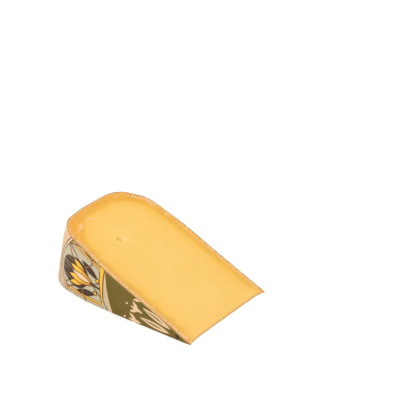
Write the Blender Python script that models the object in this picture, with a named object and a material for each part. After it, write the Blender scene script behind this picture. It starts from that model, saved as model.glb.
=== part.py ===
"""A loose wedge cut from a wheel of hard cheese, lying on one of its two cut faces.

The wheel's own axis is the thin tip of the wedge, and it runs along Y. The rind's rounded side
faces -X and the tip faces +X. The printed film that wraps the whole wheel is a piece of its own.
Lengths are in metres. The origin lies under the middle of the wedge, on the surface it rests on.
"""

import math

import bmesh
import bpy
import numpy as np
from mathutils import Vector

# The wheel that the wedge was cut from, measured over its printed film
WHEEL_RADIUS = 0.175
WHEEL_HEIGHT = 0.122
FLAT_RADIUS = 0.0625
SIDE_POWER = 3.8
WEDGE_ANGLE = math.radians(22.1)

# Printed film, which follows the rind a hair's breadth off it
FILM_THICKNESS = 0.0004
FILM_GAP = 0.0003
FILM_TRIM = 0.0004
FILM_TIP = 0.0035

# Tip: the paste has dried back from it, and the rind's two corners stand out
TIP_CORNER = 0.0005
TIP_RECESS = 0.0036
TIP_CORNER_LENGTH = 0.006
TIP_REACH = 0.020

# Upper cut face: the paste sinks a little next to the rind, and the wire left long low waves
RIND_THICKNESS = 0.0036
SINK_DEPTH = 0.0007
SINK_REACH = 0.009
MIDDLE_SINK = 0.00025
WAVE_HEIGHT = 0.00018
WAVE_LENGTH = 0.047

# One round eye that the cut just opened, and the chip in the rind, as distances from the wheel's
# axis and from the middle of its height
EYE_PLACE = (0.1255, -0.0132)
EYE_RADIUS = 0.0048
EYE_DEPTH = 0.0014
CHIP_PLACE = (0.1612, 0.0435)
CHIP_RADII = (0.0030, 0.0012, 0.0010)

# The upper cut face's outward direction
CUT_NORMAL = Vector((math.sin(WEDGE_ANGLE), 0, math.cos(WEDGE_ANGLE)))

# Faceting
OUTLINE_STEPS = 72
FILM_STEPS = 64
ANGLE_STEPS = 8
RING_SHARES = (0, 0.03, 0.06, 0.10, 0.15, 0.21, 0.29, 0.39, 0.51, 0.65, 0.81, 1)

CHEESE_COLOUR = (0.96, 0.62, 0.20, 1.0)
FILM_COLOUR = (0.20, 0.145, 0.045, 1.0)


def clear_scene():
    for thing in list(bpy.data.objects):
        bpy.data.objects.remove(thing, do_unlink=True)


def smoothstep(low, high, value):
    share = min(1.0, max(0.0, (value - low) / (high - low)))
    return share * share * (3 - 2 * share)


def side_outline(inset, steps):
    """(radius, height) of the wheel's section, evenly spaced, from the axis on the lower face to
    the axis on the upper one. It is flat near the axis and a superellipse round the side."""
    depth = WHEEL_RADIUS - FLAT_RADIUS - inset
    half_height = WHEEL_HEIGHT / 2 - inset
    turn = np.linspace(-math.pi / 2, math.pi / 2, 2001)
    bulge = np.abs(np.cos(turn)) ** (2 / SIDE_POWER)
    rise = np.sign(turn) * np.abs(np.sin(turn)) ** (2 / SIDE_POWER)
    radius = np.concatenate([[0], FLAT_RADIUS + depth * bulge, [0]])
    height = np.concatenate([[-half_height], half_height * rise, [half_height]])
    walked = np.concatenate([[0], np.cumsum(np.hypot(np.diff(radius), np.diff(height)))])
    even = np.linspace(0, walked[-1], steps + 1)
    points = np.column_stack([np.interp(even, walked, radius), np.interp(even, walked, height)])
    return points.tolist()


def in_wedge(radius, height, angle):
    """A point of the wheel, with the lower cut face at angle 0 lying level."""
    return Vector((-radius * math.cos(angle), height, radius * math.sin(angle)))


def tip_radius(height):
    """How far the tip's edge stands off the wheel's axis, less at the rind's two corners."""
    to_rind = WHEEL_HEIGHT / 2 - FILM_THICKNESS - FILM_GAP - abs(height)
    return TIP_CORNER + (TIP_RECESS - TIP_CORNER) * (1 - math.exp(-to_rind / TIP_CORNER_LENGTH))


def pull_back_tip(radius, height):
    """Slides a point of a cut face away from the axis, by less and less over TIP_REACH."""
    share = max(0.0, 1 - radius / TIP_REACH)
    return radius + tip_radius(height) * share


def sink(radius, height, to_rind):
    """Depth of the upper cut face below its plane."""
    near = smoothstep(0.3 * RIND_THICKNESS, 1.6 * RIND_THICKNESS, to_rind)
    far = smoothstep(RIND_THICKNESS, RIND_THICKNESS + SINK_REACH, to_rind)
    depth = near * (SINK_DEPTH + (MIDDLE_SINK - SINK_DEPTH) * far)
    wave = math.sin(2 * math.pi * (radius + 0.35 * height) / WAVE_LENGTH)
    off_tip = smoothstep(0, TIP_REACH, radius)
    return off_tip * (depth + far * WAVE_HEIGHT * wave)


def build_cheese():
    """Paste and rind as one solid: a lower cut face lying flat, an upper one with low relief, the
    rind between them and the narrow face of the tip."""
    outline = side_outline(FILM_THICKNESS + FILM_GAP, OUTLINE_STEPS)
    focus = WHEEL_RADIUS - WHEEL_HEIGHT / 2
    mesh = bmesh.new()

    def point(radius, height, angle, depth=0):
        flat = in_wedge(pull_back_tip(radius, height), height, angle)
        return mesh.verts.new(flat - depth * CUT_NORMAL)

    def inner_ring(share):
        """One line of the upper cut face, inside the outline and nearer the middle by share."""
        ring = []
        for r, h in outline:
            radius = r + share * (min(r, focus) - r)
            height = h * (1 - share)
            to_rind = share * math.hypot(r - min(r, focus), h)
            ring.append(point(radius, height, WEDGE_ANGLE, sink(radius, height, to_rind)))
        return ring

    angles = [WEDGE_ANGLE * i / ANGLE_STEPS for i in range(ANGLE_STEPS + 1)]
    rind = [[point(r, h, angle) for r, h in outline] for angle in angles]
    top = [rind[-1]] + [inner_ring(share) for share in RING_SHARES[1:]]
    for outer, inner in list(zip(rind, rind[1:])) + list(zip(top, top[1:])):
        for i in range(OUTLINE_STEPS):
            mesh.faces.new((outer[i], inner[i], inner[i + 1], outer[i + 1]))

    upper_tip = [ring[0] for ring in top[1:]] + [ring[-1] for ring in top[-2:0:-1]]
    lower_tip = [point(0, vert.co.y, 0) for vert in upper_tip]
    for i in range(len(upper_tip) - 1):
        mesh.faces.new((lower_tip[i], upper_tip[i], upper_tip[i + 1], lower_tip[i + 1]))
    corners = [
        mesh.faces.new([ring[end] for ring in rind] + [upper_tip[end], lower_tip[end]])
        for end in (0, -1)
    ]
    base = mesh.faces.new(rind[0] + lower_tip[::-1])
    bmesh.ops.triangulate(mesh, faces=corners + [base])
    bmesh.ops.remove_doubles(mesh, verts=mesh.verts, dist=0.00001)
    bmesh.ops.recalc_face_normals(mesh, faces=mesh.faces)
    return add_object("cheese", mesh, CHEESE_COLOUR, 0.42)


def build_film():
    """The printed film: one thin shell over the lower face, the side and the upper face of the
    wheel, cut a little short of both cut faces and of the tip."""
    outer = side_outline(0, FILM_STEPS)
    inner = side_outline(FILM_THICKNESS, FILM_STEPS)
    mesh = bmesh.new()

    def film_ring(outline, share):
        ring = []
        for r, h in outline:
            radius = max(r, FILM_TIP)
            trim = math.asin(FILM_TRIM / radius)
            angle = trim + share * (WEDGE_ANGLE - 2 * trim)
            ring.append(mesh.verts.new(in_wedge(radius, h, angle)))
        return ring

    shares = [i / ANGLE_STEPS for i in range(ANGLE_STEPS + 1)]
    outside, inside = ([film_ring(outline, share) for share in shares] for outline in (outer, inner))
    for skin in (outside, inside):
        for low, high in zip(skin, skin[1:]):
            for i in range(FILM_STEPS):
                mesh.faces.new((low[i], high[i], high[i + 1], low[i + 1]))
    for edge in (0, -1):
        shell_edge(mesh, outside[edge], inside[edge])
        shell_edge(mesh, [ring[edge] for ring in outside], [ring[edge] for ring in inside])
    bmesh.ops.recalc_face_normals(mesh, faces=mesh.faces)
    return add_object("printed_film", mesh, FILM_COLOUR, 0.5)


def shell_edge(mesh, outer, inner):
    """Closes a thin shell along one edge, between its outer and its inner line of points."""
    for i in range(len(outer) - 1):
        mesh.faces.new((outer[i], outer[i + 1], inner[i + 1], inner[i]))


def add_object(name, mesh, colour, roughness):
    data = bpy.data.meshes.new(name)
    mesh.to_mesh(data)
    mesh.free()
    made = bpy.data.objects.new(name, data)
    bpy.context.scene.collection.objects.link(made)
    data.shade_smooth()
    data.set_sharp_from_angle(angle=math.radians(30))
    material = bpy.data.materials.new(name)
    material.use_nodes = True
    shader = material.node_tree.nodes["Principled BSDF"]
    shader.inputs["Base Color"].default_value = colour
    shader.inputs["Roughness"].default_value = roughness
    shader.inputs["Metallic"].default_value = 0.0
    data.materials.append(material)
    return made


def add_cutter(name, place, radii, lift, target):
    """An ellipsoid that hollows the upper cut face: place is (radius, height) on that face, and
    lift is how far its centre stands above it."""
    mesh = bmesh.new()
    bmesh.ops.create_uvsphere(mesh, u_segments=20, v_segments=12, radius=1)
    bmesh.ops.scale(mesh, vec=Vector(radii), verts=mesh.verts)
    data = bpy.data.meshes.new(name)
    mesh.to_mesh(data)
    mesh.free()
    cutter = bpy.data.objects.new(name, data)
    bpy.context.scene.collection.objects.link(cutter)
    cutter.parent = target.parent
    cutter.location = in_wedge(*place, WEDGE_ANGLE) + lift * CUT_NORMAL
    cutter.rotation_euler = (0, WEDGE_ANGLE, 0)
    cutter.hide_render = True
    cutter.display_type = "WIRE"
    hollow = target.modifiers.new(name, "BOOLEAN")
    hollow.operation = "DIFFERENCE"
    hollow.solver = "EXACT"
    hollow.object = cutter


def main():
    clear_scene()
    wheel_axis = bpy.data.objects.new("wheel_axis", None)
    bpy.context.scene.collection.objects.link(wheel_axis)
    wheel_axis.location = ((WHEEL_RADIUS + TIP_CORNER) / 2, 0, 0)
    cheese = build_cheese()
    film = build_film()
    for piece in (cheese, film):
        piece.parent = wheel_axis
    eye_radii = (EYE_RADIUS, EYE_RADIUS, EYE_RADIUS)
    add_cutter("eye_cutter", EYE_PLACE, eye_radii, EYE_RADIUS - EYE_DEPTH, cheese)
    add_cutter("chip_cutter", CHIP_PLACE, CHIP_RADII, 0, cheese)


main()
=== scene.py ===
import math

import bmesh
import bpy
import numpy as np
from mathutils import Matrix, Vector, noise


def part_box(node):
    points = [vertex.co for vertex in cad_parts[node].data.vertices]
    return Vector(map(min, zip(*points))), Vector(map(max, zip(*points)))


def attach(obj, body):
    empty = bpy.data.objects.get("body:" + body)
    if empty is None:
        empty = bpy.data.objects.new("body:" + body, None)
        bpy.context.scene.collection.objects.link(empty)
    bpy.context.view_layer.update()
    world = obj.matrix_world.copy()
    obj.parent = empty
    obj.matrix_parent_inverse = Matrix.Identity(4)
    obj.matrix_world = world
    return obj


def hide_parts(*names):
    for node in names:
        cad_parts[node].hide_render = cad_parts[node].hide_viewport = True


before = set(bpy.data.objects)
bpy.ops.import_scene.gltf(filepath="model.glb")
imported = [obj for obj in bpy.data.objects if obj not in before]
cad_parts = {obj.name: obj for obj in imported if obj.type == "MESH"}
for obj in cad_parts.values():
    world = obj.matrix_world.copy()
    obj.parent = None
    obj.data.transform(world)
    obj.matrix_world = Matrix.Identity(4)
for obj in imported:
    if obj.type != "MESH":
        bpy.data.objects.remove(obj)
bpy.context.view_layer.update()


# The wedge of cheese. It was cut from a whole wheel with a wire, twice, through the wheel's axis,
# and lies on its lower cut face. Paste and rind are one solid: the paste has sunk and darkened a
# little next to the rind, and has dried back from the thin tip between the rind's two corners.

MM = 0.001
WEDGE_ANGLE = math.radians(22.1)
FLAT_RADIUS = 62.5 * MM
SIDE_POWER = 3.8
TIP_CORNER = 0.5 * MM
TIP_RECESS = 3.6 * MM
TIP_CORNER_LENGTH = 6 * MM
TIP_REACH = 20 * MM
RIND_INSET = 0.45 * MM

_, cheese_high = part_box("cheese")
film_low, film_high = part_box("printed_film")
axis_x = cheese_high[0] + TIP_CORNER * math.cos(WEDGE_ANGLE)
wheel_radius = axis_x - film_low[0]
half_height = film_high[1]
cut_normal = np.array([math.sin(WEDGE_ANGLE), 0, math.cos(WEDGE_ANGLE)])


def wheel_section(inset, steps):
    """Radius and height of points evenly spaced round half of the wheel's section: one flat face,
    the bulging side and the other face. Inset is how far they lie inside the wheel's outside."""
    turn = np.linspace(-math.pi / 2, math.pi / 2, 4001)
    bulge = np.abs(np.cos(turn)) ** (2 / SIDE_POWER)
    rise = np.sign(turn) * np.abs(np.sin(turn)) ** (2 / SIDE_POWER)
    radius = np.concatenate([[0], FLAT_RADIUS + (wheel_radius - FLAT_RADIUS - inset) * bulge, [0]])
    height = (half_height - inset) * np.concatenate([[-1], rise, [1]])
    walked = np.concatenate([[0], np.cumsum(np.hypot(np.diff(radius), np.diff(height)))])
    even = np.linspace(0, walked[-1], steps + 1)
    return np.interp(even, walked, radius), np.interp(even, walked, height), even


def in_wedge(radius, height, angle):
    """Places points of the wheel: angle 0 is the lower cut face, and the axis is the tip."""
    x = axis_x - radius * np.cos(angle)
    return np.stack(np.broadcast_arrays(x, height, radius * np.sin(angle)), axis=-1)


def smoothstep(low, high, value):
    """0 below low, 1 above high and smooth between. With low above high it falls instead."""
    share = np.clip((value - low) / (high - low), 0, 1)
    return share * share * (3 - 2 * share)


# The shoulders bulge next to the upper cut, and the nearer one a little next to the lower cut too
NEAR_SWELL = 2.5 * MM
FAR_SWELL = 1.4 * MM
LOWER_SWELL = 0.6 * MM
UPPER_SWELL_FROM = math.radians(9)
LOWER_SWELL_TO = math.radians(4)


def swell(height, angle):
    """How far the two shoulders bulge out of the wheel's even section."""
    near = smoothstep(-24 * MM, -43 * MM, height) * (1 - smoothstep(-50 * MM, -58 * MM, height))
    far = smoothstep(48 * MM, 53.5 * MM, height) * (1 - smoothstep(56 * MM, 59.4 * MM, height))
    upper = smoothstep(UPPER_SWELL_FROM, WEDGE_ANGLE, angle)
    lower = 1 - smoothstep(0, LOWER_SWELL_TO, angle)
    return near * (NEAR_SWELL * upper + LOWER_SWELL * lower) + far * FAR_SWELL * upper


def outward(radius, height):
    """The direction out of the wheel at each point of a section."""
    along_r, along_h = np.gradient(radius), np.gradient(height)
    length = np.hypot(along_r, along_h)
    return along_h / length, -along_r / length


def lumps_at(points, size, shift=0.0):
    """Soft noise between -1 and 1 at each point, with lumps of about the given size."""
    flat = points.reshape(-1, 3) / size + shift
    values = [noise.noise(Vector(point)) for point in flat.tolist()]
    return np.array(values).reshape(points.shape[:-1])


def stroke(radius, height, start, end, width):
    """1 along a short stroke on the cut face, falling off to each side and at both ends."""
    way = np.subtract(end, start)
    length = math.hypot(*way)
    way = way / length
    offset_r, offset_h = radius - start[0], height - start[1]
    share = (offset_r * way[0] + offset_h * way[1]) / length
    across = offset_h * way[0] - offset_r * way[1]
    ends = smoothstep(-0.15, 0.25, share) * (1 - smoothstep(0.6, 1.15, share))
    return ends * np.exp(-(across / width) ** 2)


def tip_radius(height):
    """How far the tip's edge stands off the wheel's axis."""
    to_rind = half_height - RIND_INSET - np.abs(height)
    crumble = 0.22 * MM * np.sin(height / (1.9 * MM)) * np.sin(height / (4.3 * MM) + 1)
    back = (TIP_RECESS - TIP_CORNER + crumble) * (1 - np.exp(-to_rind / TIP_CORNER_LENGTH))
    return TIP_CORNER + back


# Marks on the upper cut face, as distances from the wheel's axis and from the middle of its height:
# the eye with its pit to one side, painted darker as shade and as its moister paste, and its slope to
# the other, painted with a highlight where it is lit, the line of the chip, whose hollow is painted
# with shade, two strokes where the wire smeared soft paste (strength, both ends and width), two pale
# spots, and the two shoulders, where the paste has dried darker. A third value is a mark's radius.
EYE = (125.4 * MM, -11.9 * MM)
PIT = (127.2 * MM, -14.8 * MM)
LIT_SLOPE = (123.6 * MM, -6.6 * MM, 3.0 * MM)
CHIP = ((161.4 * MM, 42.6 * MM), (155.0 * MM, 49.6 * MM))
SMEARS = (
    (1.0, (160.5 * MM, -30.8 * MM), (153.8 * MM, -42.0 * MM), 1.5 * MM),
    (0.7, (159.4 * MM, -11.0 * MM), (161.4 * MM, -28.0 * MM), 1.5 * MM),
)
PALE_SPOTS = ((42.4 * MM, 16.2 * MM, 3.2 * MM), (75.0 * MM, -1.8 * MM, 3.6 * MM))
NEAR_SHOULDER = (152 * MM, -34 * MM, 16 * MM)
FAR_SHOULDER = (155 * MM, 36 * MM, 18 * MM)


def from_mark(radius, height, mark):
    """Distance from a mark's middle."""
    return np.hypot(radius - mark[0], height - mark[1])


def round_mark(radius, height, mark):
    """1 at a mark's middle and falling off over its radius, which is its third value."""
    return np.exp(-(from_mark(radius, height, mark) / mark[2]) ** 2)


def from_chip(radius, height):
    """Distance from the line of the chip, which runs along the rind."""
    (r0, h0), (r1, h1) = CHIP
    way_r, way_h = r1 - r0, h1 - h0
    share = np.clip(((radius - r0) * way_r + (height - h0) * way_h) / (way_r ** 2 + way_h ** 2), 0, 1)
    return np.hypot(radius - r0 - share * way_r, height - h0 - share * way_h)


def smear_on(radius, height):
    """How much soft paste the wire smeared onto each place."""
    return sum(strength * stroke(radius, height, *line) for strength, *line in SMEARS)


# Relief of the upper cut face
SINK_DEPTH = 0.70 * MM
MIDDLE_SINK = 0.25 * MM
WAVE_HEIGHT = 0.18 * MM
WAVE_LENGTH = 47 * MM
LUMP_HEIGHT = 0.10 * MM
WORN_EDGE = 0.20 * MM
EDGE_CURL = 1.0 * MM
SMEAR_HEIGHT = 0.40 * MM
EYE_RADIUS = 5.2 * MM
EYE_DEPTH = 0.80 * MM
EYE_LIP = 0.12 * MM
PIT_RADIUS = 2.5 * MM
PIT_DEPTH = 0.60 * MM
CHIP_REACH = 1.9 * MM
CHIP_DEPTH = 0.8 * MM


def edge_lift(radius, height):
    """How far the cut edge curls up above the plane of the cut, which it does on both flat sides."""
    near = smoothstep(6 * MM, 30 * MM, radius) * (1 - smoothstep(138 * MM, 158 * MM, radius))
    far = smoothstep(55 * MM, 105 * MM, radius) * (1 - smoothstep(148 * MM, 159 * MM, radius))
    return EDGE_CURL * np.where(height < 0, near, far)


def cut_face_depth(radius, height, to_rind):
    """Depth of the upper cut face below its plane, from its broad dish down to its torn rind."""
    spot = np.stack([radius, height, np.zeros_like(radius)], axis=-1)
    near = smoothstep(1.1 * MM, 5.8 * MM, to_rind)
    far = smoothstep(3.6 * MM, 12.6 * MM, to_rind)
    off_tip = smoothstep(0, TIP_REACH, radius)
    dish = near * (SINK_DEPTH + (MIDDLE_SINK - SINK_DEPTH) * far)
    waves = far * WAVE_HEIGHT * np.sin(2 * math.pi * (radius + 0.35 * height) / WAVE_LENGTH)
    lumps = far * LUMP_HEIGHT * lumps_at(spot, 11 * MM)
    in_rind = 1 - smoothstep(2.2 * MM, 4.6 * MM, to_rind)
    crumbly = 0.16 + 0.20 * lumps_at(spot, 1.5 * MM) + 0.12 * lumps_at(spot, 0.7 * MM, 9)
    torn = in_rind * np.maximum(crumbly, 0) * MM
    worn_edge = WORN_EDGE * (1 - smoothstep(0, 0.6 * MM, to_rind)) ** 2

    from_eye = from_mark(radius, height, EYE)
    dimple = EYE_DEPTH * (1 - smoothstep(0.5 * MM, EYE_RADIUS, from_eye))
    lip = EYE_LIP * np.exp(-((from_eye - EYE_RADIUS - 0.3 * MM) / (0.9 * MM)) ** 2)
    pit = PIT_DEPTH * (1 - smoothstep(0.3 * MM, PIT_RADIUS, from_mark(radius, height, PIT)))
    ragged_chip = from_chip(radius, height) + 0.5 * MM * lumps_at(spot, 1.2 * MM, 3)
    chip = CHIP_DEPTH * (1 - smoothstep(0.5 * MM, CHIP_REACH, ragged_chip))
    curl_width = np.where(height < 0, 3.0 * MM, 6.0 * MM)
    curl = edge_lift(radius, height) * (1 - smoothstep(0.2 * MM, curl_width, to_rind))
    hollows = off_tip * (dish + waves + lumps) + torn + worn_edge + dimple + pit + chip
    depth = hollows - lip - SMEAR_HEIGHT * smear_on(radius, height) - curl

    # Never more than part of the wedge's thickness, which is small at its tip
    return np.minimum(depth, 0.4 * radius * math.sin(WEDGE_ANGLE))


def add_object(name, data):
    """A new object in the scene."""
    made = bpy.data.objects.new(name, data)
    bpy.context.scene.collection.objects.link(made)
    return made


def add_mesh_piece(name, points, faces, attributes):
    """A mesh object from points and faces, with values kept on its points for its material."""
    mesh = bpy.data.meshes.new(name)
    mesh.from_pydata(points.tolist(), [], faces)
    for title, values in attributes.items():
        layer = mesh.attributes.new(title, "FLOAT", "POINT")
        layer.data.foreach_set("value", np.asarray(values, np.float32).ravel())
    work = bmesh.new()
    work.from_mesh(mesh)
    bmesh.ops.remove_doubles(work, verts=work.verts, dist=0.001 * MM)
    bmesh.ops.triangulate(work, faces=[face for face in work.faces if len(face.verts) > 4])
    bmesh.ops.recalc_face_normals(work, faces=work.faces)
    work.to_mesh(mesh)
    work.free()
    mesh.shade_smooth()
    mesh.set_sharp_from_angle(angle=math.radians(50))
    return add_object(name, mesh)


def strips(rows):
    """Quads between each row of point numbers and the next."""
    low, high = rows[:-1], rows[1:]
    quads = np.stack([low[:, :-1], high[:, :-1], high[:, 1:], low[:, 1:]], axis=-1)
    return quads.reshape(-1, 4).tolist()


# The upper cut face is rings inside the outline, close together at the rind and round the eye. The
# lower one has fewer, and columns of points up the rind join the two. Ring depths are in mm, with
# 61 at the middle of the face.
OUTLINE_STEPS = 640
RIND_COLUMNS = 12
BASE_EVERY = 7
SWELL_FADES_IN = (3 * MM, 12 * MM)
ring_depths = np.concatenate([
    np.arange(0, 5, 0.25), np.arange(5, 12, 0.5), np.arange(12, 20, 0.6), np.arange(20, 37, 1.5),
    np.arange(37, 50, 0.5), np.linspace(50, 61, 8),
])
ring_shares = ring_depths / ring_depths[-1]

outline_r, outline_h, _ = wheel_section(RIND_INSET, OUTLINE_STEPS)
focus = np.minimum(outline_r, wheel_radius - half_height)
share = ring_shares[:, None]
face_r = outline_r + share * (focus - outline_r)
face_h = outline_h * (1 - share)
face_to_rind = share * np.hypot(outline_r - focus, outline_h)
edge_of_tip = tip_radius(face_h)
pulled_r = face_r + edge_of_tip * np.maximum(0, 1 - face_r / TIP_REACH)
face_to_tip = pulled_r - edge_of_tip

out_r, out_h = outward(outline_r, outline_h)
near_rind = 1 - smoothstep(*SWELL_FADES_IN, face_to_rind)


def ring_points(angle):
    """The rings on a cut through the wheel, pushed out with the shoulder close to the rind."""
    push = near_rind * swell(outline_h, angle)
    return in_wedge(pulled_r + out_r * push, face_h + out_h * push, angle)


top = ring_points(WEDGE_ANGLE)
top -= cut_face_depth(pulled_r, face_h, face_to_rind)[..., None] * cut_normal
base_rows = list(range(0, len(ring_shares), BASE_EVERY)) + [len(ring_shares) - 1]
base = ring_points(0.0)[base_rows]
side_angle = WEDGE_ANGLE * np.linspace(0, 1, RIND_COLUMNS + 1)[1:-1, None]
push = swell(outline_h, side_angle)
side = in_wedge(pulled_r[0] + out_r * push, face_h[0] + out_h * push, side_angle)

top_ids = np.arange(face_r.size).reshape(face_r.shape)
base_ids = top_ids.size + np.arange(base[..., 0].size).reshape(base.shape[:2])
side_ids = top_ids.size + base_ids.size + np.arange(side[..., 0].size).reshape(side.shape[:2])
body_faces = strips(top_ids) + strips(base_ids)
body_faces += strips(np.vstack([base_ids[:1], side_ids, top_ids[:1]]))
for end in (0, -1):
    for i, (low_row, high_row) in enumerate(zip(base_rows, base_rows[1:])):
        up = top_ids[low_row:high_row + 1, end].tolist()
        corner = side_ids[:, end].tolist() if i == 0 else []
        body_faces.append([base_ids[i + 1, end], base_ids[i, end]] + corner + up)


def on_body(values, on_base=True):
    """A value for every point of the body: the rind's own columns have none, and the lower cut
    face only where on_base is set."""
    lower = values[base_rows] * on_base
    return np.concatenate([values.ravel(), lower.ravel(), np.zeros(side_ids.size)])


# Values for the material. The pale marks, among them a painted highlight on the eye's lit slope, and the
# pit and chip, painted with shade, come first.
spots = sum(round_mark(pulled_r, face_h, spot) for spot in PALE_SPOTS)
# The smears and pale spots, and a painted highlight on the eye's lit slope
pale_and_lit = smear_on(pulled_r, face_h) + 0.35 * spots + 0.65 * round_mark(pulled_r, face_h, LIT_SLOPE)
pit = 1 - smoothstep(0.8 * MM, 3.8 * MM, from_mark(pulled_r, face_h, PIT))
chip = 1 - smoothstep(0.8 * MM, 2.6 * MM, from_chip(pulled_r, face_h))

# Then where on the face each point lies. Round the far shoulder the rind is broad. Next to it on
# the way to the tip, where far_rind is negative, it is thin and the paste inside it darker.
near_shoulder = round_mark(pulled_r, face_h, NEAR_SHOULDER)
far_shoulder = round_mark(pulled_r, face_h, FAR_SHOULDER)
arc = smoothstep(140 * MM, 158 * MM, pulled_r)
near_side = smoothstep(-30 * MM, -55 * MM, face_h) * (1 - arc)
far_side = smoothstep(30 * MM, 55 * MM, face_h) * (1 - arc)
thin_stretch = smoothstep(102 * MM, 112 * MM, pulled_r) * (1 - smoothstep(131 * MM, 137 * MM, pulled_r))
broad_stretch = smoothstep(134 * MM, 142 * MM, pulled_r)
far_rind = smoothstep(44 * MM, 53 * MM, face_h) * (broad_stretch - 0.5 * thin_stretch)

# Dried paste reaches further in from the rind at both shoulders and less far on the far side
further_in = 3.0 * near_shoulder + 2.0 * far_shoulder + 0.8 * arc - 2.5 * far_side
dried = face_to_rind - further_in * MM
cheese = add_mesh_piece(
    "cheese_wedge", np.concatenate([part.reshape(-1, 3) for part in (top, base, side)]), body_faces,
    {
        "to_rind": on_body(face_to_rind),
        "to_tip": on_body(face_to_tip),
        "dried": on_body(dried),
        "arc": on_body(arc),
        "near_side": on_body(near_side),
        "far_side": on_body(far_side),
        "far_rind": on_body(far_rind),
        "near_shoulder": on_body(near_shoulder),
        "far_shoulder": on_body(far_shoulder),
        "pit": on_body(np.maximum(pit, chip), False),
        "pale_and_lit": on_body(pale_and_lit, False),
    },
)
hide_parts("cheese")
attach(cheese, "root")


class Wire:
    """A socket of a material's node tree. Operators on it add Math nodes and give a new Wire."""

    def __init__(self, tree, socket=None):
        self.tree = tree
        self.socket = socket

    def node(self, kind, settings=None, sockets=None, output=0):
        """Adds a node: its settings are set first, then its sockets get values or links."""
        made = self.tree.nodes.new("ShaderNode" + kind)
        for title, value in (settings or {}).items():
            setattr(made, title, value)
        for title, value in (sockets or {}).items():
            if isinstance(value, Wire):
                self.tree.links.new(value.socket, made.inputs[title])
            else:
                made.inputs[title].default_value = value
        return Wire(self.tree, made.outputs[output])

    def math(self, operation, *values):
        return self.node("Math", {"operation": operation}, dict(enumerate(values)))

    def __add__(self, other):
        return self.math("ADD", self, other)

    def __sub__(self, other):
        return self.math("SUBTRACT", self, other)

    def __rsub__(self, other):
        return self.math("SUBTRACT", other, self)

    def __mul__(self, other):
        return self.math("MULTIPLY", self, other)

    def __truediv__(self, other):
        return self.math("DIVIDE", self, other)

    def __pow__(self, power):
        return self.math("POWER", self, power)

    def __abs__(self):
        return self.math("ABSOLUTE", self)

    __radd__ = __add__
    __rmul__ = __mul__

    def least(self, other):
        return self.math("MINIMUM", self, other)

    def most(self, other):
        return self.math("MAXIMUM", self, other)

    def step(self, low, high):
        """0 below low, 1 above high and smooth between. With low above high it falls instead."""
        ends = {0: self, 1: low, 2: high, 3: 0.0, 4: 1.0}
        return self.node("MapRange", {"interpolation_type": "SMOOTHSTEP"}, ends)

    def attribute(self, title):
        return self.node("Attribute", {"attribute_name": title}, output=2)

    def place(self):
        return self.node("TexCoord", output=3)

    def lumps(self, size, detail=2.0, stretch=(1, 1, 1), roughness=0.5):
        """Noise between 0 and 1 over the surface, with lumps of about the given size."""
        scaled = self.node("Mapping", {}, {"Vector": self.place(), "Scale": stretch})
        sockets = {"Vector": scaled, "Scale": 1 / size, "Detail": detail, "Roughness": roughness}
        return self.node("TexNoise", {}, sockets)


# What the studio's light makes of a level white face, where 1 is the screen's white
STUDIO_LEVEL = 1.10


def colour(red, green, blue, gloss=0.0):
    """The linear colour of a finish that shows as these screen values under the studio's light,
    less the share of white that its gloss adds."""
    screen = np.array([red, green, blue]) / 255
    linear = np.where(screen <= 0.04045, screen / 12.92, ((screen + 0.055) / 1.055) ** 2.4)
    return (*(np.maximum(linear - gloss, 0.004) / STUDIO_LEVEL).tolist(), 1.0)


def blend(share, under, over):
    """One colour over another: share is 0 for the one under it and 1 for the one over it."""
    tree = next(value.tree for value in (share, under, over) if isinstance(value, Wire))
    return Wire(tree).node("Mix", {"data_type": "RGBA"}, {0: share, 6: under, 7: over}, output=2)


def new_material(name):
    """A material, its shader node and a Wire to start its own nodes from."""
    material = bpy.data.materials.new(name)
    material.use_nodes = True
    return material, material.node_tree.nodes["Principled BSDF"], Wire(material.node_tree)


def feed(shader, title, wire):
    """Links a Wire to one of a shader's own inputs."""
    wire.tree.links.new(wire.socket, shader.inputs[title])


# From the middle outward the paste goes from pale yellow through gold to amber with burnt patches,
# then comes a ragged peach line of rind with paler lumps in it, which is narrow round the arc, and at
# the very edge a thin brown line, partly crust and partly painted shade. Attributes in metres become
# distances in mm.
paste_material, shader, start = new_material("aged_cheese_paste")
to_rind = start.attribute("to_rind") / MM
to_tip = start.attribute("to_tip") / MM
dried = start.attribute("dried") / MM
arc, near_side, far_side = (start.attribute(title) for title in ("arc", "near_side", "far_side"))
near_shoulder, far_shoulder = start.attribute("near_shoulder"), start.attribute("far_shoulder")
far_rind = start.attribute("far_rind")
wander = start.lumps(10 * MM, 3.0)
clots = start.lumps(3.2 * MM, 3.0)
grain = start.lumps(1.1 * MM, 3.0)

paste = blend(start.lumps(34 * MM).step(0.35, 0.65), colour(252, 205, 107), colour(254, 208, 114))
paste = blend(start.lumps(2.2 * MM, 4.0).step(0.4, 0.9) * 0.10, paste, colour(255, 214, 130))
golden = start.math("EXPONENT", (8.0 + far_side * 3.0 - dried - (wander - 0.5) * 8) / 9.0).least(1.0)
# Gold fades towards the tip, a painted highlight at the tip's corners
golden = golden * (0.20 + 0.40 * to_tip.step(1, 12) + 0.40 * to_tip.step(4, 36))
paste = blend(golden, paste, colour(250, 193, 68))

amber = 1 - (dried + (wander - 0.5) * 6 + (clots - 0.5) * 3).step(4.8, 12.5)
amber_tone = blend(near_side, colour(238, 176, 68), colour(228, 171, 72))
amber_tone = blend(far_side, amber_tone, colour(239, 179, 74))
amber_tone = blend(far_rind * -2, amber_tone, colour(228, 169, 68))
# Amber fades towards the tip too, for the same painted highlight
amber_share = 0.30 + 0.30 * to_tip.step(1, 12) + 0.32 * (to_tip + near_side * 30).step(10, 70)
paste = blend(amber * amber_share, paste, amber_tone)
burnt = start.lumps(5 * MM, 2.0).step(0.46, 0.62) * (0.5 + arc * 0.35)
burnt = burnt + (near_shoulder + far_shoulder) * 0.5
paste = blend((amber * burnt).least(1.0), paste, colour(244, 172, 44))

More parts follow.
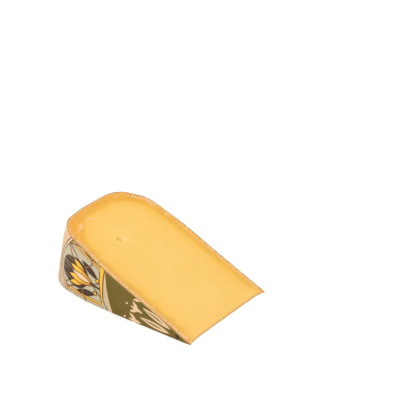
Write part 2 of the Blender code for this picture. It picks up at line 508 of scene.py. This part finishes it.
ragged = to_rind + (clots - 0.5) * 3.0 + arc * 1.4 - near_side * 1.7 - near_shoulder * 1.3
ragged = ragged + far_side * 0.6 - far_rind * 2.4
rind_line = 1 - ragged.step(2.6, 4.9)
rind = blend((clots + near_side * 0.08).step(0.42, 0.58), colour(228, 164, 84), colour(249, 203, 142))
rind = blend(far_side * 0.45, rind, colour(246, 186, 100))
rind = blend(arc * 0.85, rind, colour(243, 181, 98))
rind = blend(far_rind * 0.7, rind, colour(240, 190, 130))
paste = blend(rind_line, paste, rind)
strays = clots.step(0.56, 0.66) * (1 - dried.step(3.0, 9.0))
paste = blend(strays * (0.5 + arc * 0.2), paste, blend(arc, colour(249, 208, 150), colour(248, 196, 124)))
# A thin brown crust at the rind's very edge, darkened further as painted shade along the edge
crust_and_shade = 1 - (to_rind + (grain - 0.5) * 0.8 - near_side * 0.8).step(0.1, 0.9)
paste = blend(crust_and_shade * (0.9 - near_shoulder * 0.6), paste, colour(206, 150, 84))

# Marks on the face, some painted as light and shade, and the dry edge of the tip, whose thin brown line is
# partly painted shade
# Painted shade in the eye's pit, where the moister paste is also deeper in colour, and in the chip's
# hollow
paste = blend(start.attribute("pit") * 0.45, paste, colour(238, 166, 48))
# The smears and pale spots, and a painted highlight on the lit slope of the eye
smeared_and_lit = start.attribute("pale_and_lit").least(1.0) * clots.step(0.25, 0.55)
paste = blend(smeared_and_lit * 0.80, paste, blend(arc, colour(254, 222, 154), colour(254, 208, 152)))
paste = blend((1 - to_tip.step(0.5, 7.0)) * 0.12, paste, colour(238, 184, 98))
# A thin brown line along the tip's edge: partly dried paste, partly painted shade on its blunt face
paste = blend((1 - to_tip.step(0.1, 1.2)) * 0.70, paste, colour(204, 152, 84))

feed(shader, "Base Color", paste)
feed(shader, "Roughness", 0.42 + 0.16 * rind_line + 0.10 * grain)
drag_marks = start.lumps(2.4 * MM, 2.0, (0.12, 1, 0.12))
height = (grain * 0.05 + start.lumps(4.5 * MM) * 0.06 + drag_marks * 0.05) * MM
height = height + start.lumps(0.5 * MM) * rind_line * (0.12 * MM)
feed(shader, "Normal", start.node("Bump", {}, {"Strength": 0.5, "Distance": 1.0, "Height": height}))
shader.inputs["Specular IOR Level"].default_value = 0.30
shader.inputs["Subsurface Weight"].default_value = 0.25
shader.inputs["Subsurface Radius"].default_value = (1.0, 0.55, 0.16)
shader.inputs["Subsurface Scale"].default_value = 3 * MM
cheese.data.materials.append(paste_material)


# The printed film. A round sheet of thin coated paper on each face of the wheel, turned down over
# its shoulder in small pleats and stuck to the rind. The wire cut it together with the cheese,
# which left its edge a little frayed and loose.

FILM_ROWS = 230
FILM_COLUMNS = 150
FILM_INSET = 0.16 * MM
FILM_THICKNESS = 0.15 * MM
FILM_TIP = 3.5 * MM
FILM_TRIM = 0.05 * MM
FRAY_DEPTH = 0.28 * MM
PLEAT_HEIGHT = 0.30 * MM
LOOSE_LIFT = 0.5 * MM
LOOSE_WIDTH = 3 * MM

# The section's two ends lie on the wheel's axis, which the film stops short of. How far along the
# film a point lies is measured from the nearer of its two ends.
film_r, film_h, film_walked = (values[1:-1, None] for values in wheel_section(0, FILM_ROWS))
film_out_r, film_out_h = (part[:, None] for part in outward(film_r[:, 0], film_h[:, 0]))
film_r = np.maximum(film_r, FILM_TIP)
film_along = np.minimum(film_walked, film_walked[0] + film_walked[-1] - film_walked)


def fray(short, long, shift):
    """How far the cut edge has crumbled back, with small nicks and longer bites along it."""
    nicks = np.sin(film_walked / short + shift) * np.sin(film_walked / long)
    return FRAY_DEPTH * (0.5 + 0.5 * nicks)


# Each row of points runs round the wheel from the lower cut to the upper one, which is nowhere
# higher than the cheese
lower_cut = (FILM_TRIM + fray(1.7 * MM, 5.1 * MM, 0)) / film_r
upper_cut = WEDGE_ANGLE + (edge_lift(film_r, film_h) - FILM_TRIM - fray(1.3 * MM, 7.7 * MM, 2)) / film_r
upper_cut = np.minimum(upper_cut, np.arcsin(cheese_high[2] / np.maximum(film_r, cheese_high[2])))
film_angle = lower_cut + np.linspace(0, 1, FILM_COLUMNS + 1) * (upper_cut - lower_cut)
above_lower = (film_angle - lower_cut) * film_r
below_upper = (upper_cut - film_angle) * film_r


def film_skin(inset):
    """Points of the film that lie this far inside the wheel's outside, raised where it is pleated,
    loose at its edge or stretched over a swollen shoulder."""
    walked = np.stack(np.broadcast_arrays(film_walked, film_angle * 0, film_angle * 0), -1)
    loose = 1 - smoothstep(0, LOOSE_WIDTH, np.minimum(above_lower, below_upper))
    lift = LOOSE_LIFT * loose * np.maximum(0, lumps_at(walked, 14 * MM, 5) - 0.1)
    depth = inset - PLEAT_HEIGHT * pleats(film_angle, film_along) - lift
    depth = np.maximum(depth, inset - FILM_INSET) - swell(film_h, film_angle)
    return in_wedge(film_r - film_out_r * depth, film_h - film_out_h * depth, film_angle)


def pleats(angle, along):
    """Ridges where the sheet is gathered over the shoulder, at uneven places round the wheel."""
    total = 0
    rng = np.random.default_rng(7)
    place = -0.02
    while place < WEDGE_ANGLE + 0.02:
        place += rng.uniform(0.022, 0.046)
        begin = rng.uniform(128, 146) * MM
        lean = rng.uniform(-0.12, 0.12)
        width = rng.uniform(0.0028, 0.0044)
        ridge = np.exp(-((angle - place - lean * (along - begin)) / width) ** 2)
        total = np.maximum(total, ridge * smoothstep(begin, begin + 18 * MM, along))
    return total


outside, inside = film_skin(FILM_INSET), film_skin(FILM_INSET + FILM_THICKNESS)
film_points = np.concatenate([outside.reshape(-1, 3), inside.reshape(-1, 3)])
outer_ids = np.arange(outside[..., 0].size).reshape(outside.shape[:2])
inner_ids = outer_ids + outer_ids.size
film_faces = strips(outer_ids) + strips(inner_ids)
for edge in (0, -1):
    film_faces += strips(np.stack([outer_ids[edge], inner_ids[edge]]))
    film_faces += strips(np.stack([outer_ids[:, edge], inner_ids[:, edge]]))
film_values = {
    "along": film_along + 0 * film_angle,
    "pleat": pleats(film_angle, film_along),
    "to_cut": np.minimum(above_lower + 0.3 * MM, below_upper),
}
film = add_mesh_piece(
    "film_round_the_rind", film_points, film_faces,
    {title: np.tile(values.ravel(), 2) for title, values in film_values.items()},
)
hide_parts("printed_film")
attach(film, "root")

# Inks of the print, as they show in the studio
FILM_GLOSS = 0.014
OLIVE = colour(108, 92, 34, FILM_GLOSS)
CREAM = colour(234, 199, 158, FILM_GLOSS)
PALE_GROUND = colour(196, 184, 154, FILM_GLOSS)
SHOULDER_GROUND = colour(206, 184, 152, FILM_GLOSS)
GROUND_SHADE = colour(158, 146, 120, FILM_GLOSS)
OCHRE = colour(244, 186, 60, FILM_GLOSS)
DEEP_OCHRE = colour(206, 136, 40, FILM_GLOSS)
BROWN = colour(72, 53, 41, FILM_GLOSS)
TAN = colour(172, 128, 90, FILM_GLOSS)
PEACH = colour(230, 194, 152, FILM_GLOSS)
BARE_PAPER = colour(240, 204, 164, FILM_GLOSS)

film_material, shader, start = new_material("printed_film")
reach = (axis_x - start.node("SeparateXYZ", {}, {0: start.place()}, output=0)) / MM
rise = start.node("SeparateXYZ", {}, {0: start.place()}, output=2) / MM
radial = (reach * reach + rise * rise) ** 0.5
angle = start.math("ARCTAN2", rise, reach)
along = start.attribute("along") / MM


def cells(pitch, centre):
    """Distance in mm, round the wheel, from the middle of the nearest of many equal sectors."""
    turn = math.radians(pitch)
    shifted = (angle - math.radians(centre)) / turn + 0.5
    return (start.math("FRACT", shifted) - 0.5) * radial * turn


def inside_of(distance):
    """1 where a distance in mm is below zero, with a soft edge as wide as the ink's own."""
    soft = 0.16
    return distance.step(soft, -soft)


def ring(inner, outer):
    """1 between two distances in mm along the film from the wheel's axis."""
    return inside_of(abs(along - (inner + outer) / 2) - (outer - inner) / 2)


def leaf(u, v, centre, length, width, tilt=0.0):
    """Distance from the edge of a pointed leaf, negative inside it. It is centred on (along,
    across) and tilted out of the radial direction, in degrees."""
    c, s = math.cos(math.radians(tilt)), math.sin(math.radians(tilt))
    du, dv = u - centre[0], v - centre[1]
    lengthwise, crosswise = du * c + dv * s, dv * c - du * s
    bow = 1 - (lengthwise / (length / 2)) ** 2
    return abs(crosswise) - bow * (width / 2)


def disc(u, v, centre, radius):
    """Distance from the edge of a disc, negative inside it."""
    du, dv = u - centre[0], v - centre[1]
    return (du * du + dv * dv) ** 0.5 - radius


# An olive field with a ring of dark dots, a rosette of open cream petals and small buds between them
ink = blend(inside_of(disc(along, cells(15, 13), (16, 0), 2.2)), OLIVE, BROWN)
petals = cells(11.25, 7.6)
ink = blend(inside_of(leaf(along, petals, (41, 0), 34, 5.6)), ink, CREAM)
ink = blend(inside_of(leaf(along, petals, (43, 0), 22, 1.5)), ink, OLIVE)
buds = cells(11.25, 13.2)
for bend in (-1, 1):
    ink = blend(inside_of(leaf(along, buds, (65.5, bend * 3.1), 10, 3.0, bend * 34)), ink, CREAM)
ink = blend(inside_of(leaf(along, buds, (63, 0), 15, 3.1)), ink, CREAM)
ink = blend(inside_of(disc(along, buds, (74.5, 0), 1.1)), ink, CREAM)

# The olive field grows wider from the lower cut to the upper one. A pale crescent, a brown line, an
# ochre band that tapers and a pale panel lie outside it, and a slanting frame closes the panel.
degrees = angle * (180 / math.pi)
field_edge = along - (88.3 + 0.80 * degrees)
line_edge = along - (94 + 1.2 * degrees).least(98.3 + 0.39 * degrees)
band_edge = along - (99.5 + 0.58 * degrees)
frame_edge = along - (147.5 + 1.45 * degrees).least(176.0 - degrees)
crescent = blend(field_edge.step(0.5, 5.0), colour(226, 184, 142, FILM_GLOSS), PALE_GROUND)
ink = blend(inside_of(0 - field_edge), ink, crescent)
ink = blend(inside_of(abs(field_edge - 3.0) - 0.25) * 0.6, ink, GROUND_SHADE)
ink = blend(inside_of(0 - line_edge), ink, blend(degrees.step(3.0, 5.5), PALE_GROUND, OCHRE))
ink = blend(inside_of(0 - band_edge), ink, PALE_GROUND)
hatch = start.math("SINE", (reach * 0.8 + rise) * 4.2)
ink = blend(inside_of(0 - band_edge) * ring(97, 162) * hatch.step(0.55, 0.95) * 0.30, ink, GROUND_SHADE)
ink = blend(inside_of(abs(line_edge) - 0.65), ink, BROWN)
ink = blend(inside_of(abs(band_edge - 0.4) - 0.5), ink, BROWN)

# A garland of tulips on the pale ground, with a striped bar between each two, a dark moon behind
# each and a trellis of thin stems
around = cells(19, 10.4)
u, v = (along - 133) / 1.25 + 127, around / 1.18
beyond = (0 - band_edge).most(frame_edge + 3)
bar = cells(19, 2.0)
for middle, half_width, tone in ((0, 2.3, BROWN), (0.9, 0.8, OCHRE), (-1.3, 0.6, PEACH)):
    ink = blend(inside_of((abs(bar - middle) - half_width).most(beyond)), ink, tone)
for lean in (-1, 1):
    ink = blend(inside_of(leaf(u, v, (118, lean * 10.8), 21, 5.6, lean * 22)), ink, BROWN)
    for slope in (1.35, 0.67):
        stem = abs(lean * around - (156 - along) * slope + 27.2) / math.hypot(1, slope)
        ink = blend(inside_of((stem - 0.80).most(beyond)), ink, BROWN)
        ink = blend(inside_of((stem - 0.35).most(beyond)), ink, TAN)
ink = blend(inside_of(disc(u, v * 0.75, (138.2, 0), 8.2)), ink, BROWN)
for lean in (-1, 1):
    outer_petal = leaf(u, v, (127, lean * 7.0), 23, 9.6, lean * 24)
    ink = blend(inside_of(outer_petal), ink, BROWN)
    lit_petal = leaf(u, v, (128, lean * 7.6), 15, 4.2, lean * 25)
    ink = blend(inside_of(lit_petal), ink, blend(abs(v).step(5, 9), DEEP_OCHRE, OCHRE))
for lean in (-1, 1):
    inner_petal = leaf(u, v, (125, lean * 2.9), 27, 7.2, lean * 8)
    ink = blend(inside_of(inner_petal), ink, BROWN)
    ink = blend(inside_of(inner_petal + 0.7), ink, blend(u.step(116, 129), DEEP_OCHRE, OCHRE))
heart = leaf(u, v, (124.5, 0), 22, 5.4)
ink = blend(inside_of(heart), ink, BROWN)
ink = blend(inside_of(heart + 0.6), ink, CREAM)
ink = blend(inside_of((abs(v) - 1.0).most(abs(u - 110) - 5.0)), ink, BROWN)
for lean in (-1, 1):
    ink = blend(inside_of(disc(u, v, (109, lean * 6.0), 2.0)), ink, BROWN)
    ink = blend(inside_of(disc(u, v, (109, lean * 6.0), 1.2)), ink, OCHRE)

# Plain paper outside the frame, with lines that follow it over the shoulder, and an olive band with
# lozenges round the middle of the wheel's side
ink = blend(inside_of(0 - frame_edge), ink, blend(degrees.step(9, 15), SHOULDER_GROUND, PEACH))
ink = blend(inside_of(abs(frame_edge + 1.2) - 0.9), ink, CREAM)
for line, half_width, tone in ((-2.7, 0.6, BROWN), (0.4, 0.8, BROWN), (4.6, 0.5, TAN), (8.4, 0.5, TAN)):
    ink = blend(inside_of(abs(frame_edge - line) - half_width) * 0.85, ink, tone)
ink = blend(ring(178, 230), ink, OLIVE)
ink = blend(ring(176.6, 178), ink, BROWN)
ink = blend(inside_of(abs(cells(4.4, 0.6)) + abs(along - 188) - 4.2), ink, CREAM)

# Wear and painted shade: the ink is thin on the pleats and frayed away along the cut edges, whose
# frayed fringe is painted dark partly as shade, the coating has small scuffs and a fine paper grain,
# and the wheel's side is painted darker low down as shade
fibre = start.lumps(0.8 * MM, 3.0)
scuffs = start.lumps(5 * MM, 5.0, roughness=0.7)
# The fringe along the cut edges: partly frayed paper, partly painted shade along the edge
frayed_edge_and_shade = 1 - (start.attribute("to_cut") / MM + (fibre - 0.5) * 1.0).step(0.05, 0.45)
ink = blend(start.attribute("pleat") * 0.40, ink, BARE_PAPER)
ink = blend(scuffs.step(0.68, 0.76) * 0.35, ink, BARE_PAPER)
ink = blend(start.lumps(24 * MM).step(0.45, 0.75) * 0.08, ink, TAN)
# Painted shade: the wheel's side is darkened tan low down, next to the sheet
ink = blend(ring(160, 178) * (1 - rise.step(18, 54)) * 0.32, ink, TAN)
ink = blend(fibre.step(0.35, 0.8) * 0.05, ink, BARE_PAPER)
# The fringe painted brown, partly as shade along the cut edge
ink = blend(frayed_edge_and_shade * 0.85, ink, blend(fibre.step(0.45, 0.65), colour(176, 128, 70), colour(214, 166, 108)))
feed(shader, "Base Color", ink)
feed(shader, "Roughness", 0.46 + 0.22 * scuffs.step(0.45, 0.75) + 0.06 * fibre)
height = fibre * (0.05 * MM) + start.lumps(7 * MM, 3.0) * (0.20 * MM)
feed(shader, "Normal", start.node("Bump", {}, {"Strength": 0.5, "Distance": 1.0, "Height": height}))
shader.inputs["Specular IOR Level"].default_value = 0.18
film.data.materials.append(film_material)


# Crumbs. The wire dragged small crumbs of rind and paste along the cut edge, where they stuck,
# and a row of larger pale ones lies in the chip that it broke out of the rind.

CRUMB_COUNT = 70

# Radius, height and size in mm
CHIP_CRUMBS = (
    (161.3, 41.4, 1.0), (158.8, 44.6, 1.2), (157.8, 46.2, 1.4), (156.4, 47.6, 1.1), (155.0, 48.9, 0.8),
    (153.6, 50.2, 0.9), (159.6, 46.4, 0.6),
)
rng = np.random.default_rng(21)
crumbs = bmesh.new()


def add_crumb(radius, height, to_rind, size):
    """A lump that lies on the upper cut face, sunk into it by nearly half."""
    lump = bmesh.ops.create_icosphere(crumbs, subdivisions=2, radius=size)["verts"]
    squeeze = Vector(rng.uniform(0.6, 1.3, 3))
    sunk = cut_face_depth(radius, height, to_rind) - 0.1 * size
    seat = Vector((in_wedge(radius, height, WEDGE_ANGLE) - sunk * cut_normal).tolist())
    for vert in lump:
        bumps = 1 + 0.35 * noise.noise(vert.co / size * 1.3 + seat * 900)
        vert.co = seat + vert.co * squeeze * bumps


for _ in range(CRUMB_COUNT):
    spot = rng.integers(20, OUTLINE_STEPS - 20)
    inward = rng.uniform(1.6, 4.6) * MM
    share = inward / half_height
    crumb_r = outline_r[spot] + share * (focus[spot] - outline_r[spot])
    add_crumb(crumb_r, outline_h[spot] * (1 - share), inward, rng.uniform(0.15, 0.45) * MM)
for radius, height, size in CHIP_CRUMBS:
    add_crumb(np.float64(radius * MM), np.float64(height * MM), 3 * MM, size * MM)
crumb_mesh = bpy.data.meshes.new("rind_crumbs")
crumbs.to_mesh(crumb_mesh)
crumbs.free()
crumb_mesh.shade_smooth()
crumb_piece = add_object("rind_crumbs", crumb_mesh)
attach(crumb_piece, "root")

crumb_material, shader, start = new_material("dry_crumb")
tone = start.lumps(2.5 * MM, 1.0).step(0.4, 0.6)
feed(shader, "Base Color", blend(tone, colour(246, 206, 146), colour(254, 232, 188)))
feed(shader, "Roughness", 0.55 + 0.2 * start.lumps(0.4 * MM))
crumb_mesh.materials.append(crumb_material)


# The studio: a plain white sheet under the wedge, an even white surround and two large soft
# lamps, one overhead and one behind the camera. The camera was fitted to the photograph.

CAMERA_FROM_TIP = Vector((0.7470, -1.1105, 0.8430))
CAMERA_TURN = math.radians(33.857)
CAMERA_LOOKS_DOWN = math.radians(27.475)
CAMERA_ROLL = math.radians(2.80)
SHEET_REACH = 4
SHEET_DROP = 0.1 * MM

camera_data = bpy.data.cameras.new("camera")
camera_data.sensor_width = 36
camera_data.lens = 159.06
camera_data.clip_end = 20
camera = add_object("camera", camera_data)
tip_corner = Vector((axis_x, -half_height, 0))
turn = Matrix.Rotation(CAMERA_TURN, 4, "Z")
tilt = Matrix.Rotation(math.pi / 2 - CAMERA_LOOKS_DOWN, 4, "X")
roll = Matrix.Rotation(CAMERA_ROLL, 4, "Z")
camera.matrix_world = Matrix.Translation(tip_corner + CAMERA_FROM_TIP) @ turn @ tilt @ roll
bpy.context.scene.camera = camera

floor_mesh = bpy.data.meshes.new("sheet")
sheet_corners = [(x * SHEET_REACH, y * SHEET_REACH, 0) for x, y in ((-1, -1), (1, -1), (1, 1), (-1, 1))]
floor_mesh.from_pydata(sheet_corners, [], [(0, 1, 2, 3)])
floor = add_object("sheet", floor_mesh)
floor.location.z = -SHEET_DROP
floor_material, shader, _ = new_material("white_sheet")
shader.inputs["Base Color"].default_value = (0.72, 0.72, 0.72, 1)
shader.inputs["Emission Color"].default_value = (1, 1, 1, 1)
shader.inputs["Emission Strength"].default_value = 0.38
shader.inputs["Roughness"].default_value = 0.9
shader.inputs["Specular IOR Level"].default_value = 0.1
floor_mesh.materials.append(floor_material)

world = bpy.data.worlds.new("surround")
world.use_nodes = True
world.node_tree.nodes["Background"].inputs["Color"].default_value = (1, 1, 1, 1)
world.node_tree.nodes["Background"].inputs["Strength"].default_value = 0.52
bpy.context.scene.world = world


def add_lamp(name, place, size, power):
    """A round soft lamp that shines at the middle of the wedge."""
    lamp_data = bpy.data.lights.new(name, "AREA")
    lamp_data.shape = "DISK"
    lamp_data.size = size
    lamp_data.energy = power
    lamp = add_object(name, lamp_data)
    lamp.location = place
    lamp.rotation_euler = (Vector((0, 0, 0.03)) - Vector(place)).to_track_quat("-Z", "Y").to_euler()


add_lamp("overhead", (0.3, 0.3, 1.5), 1.6, 11)
add_lamp("front", (-0.7, -1.4, 1.1), 1.8, 22)

bpy.context.scene.view_settings.view_transform = "Standard"
bpy.context.scene.view_settings.look = "None"
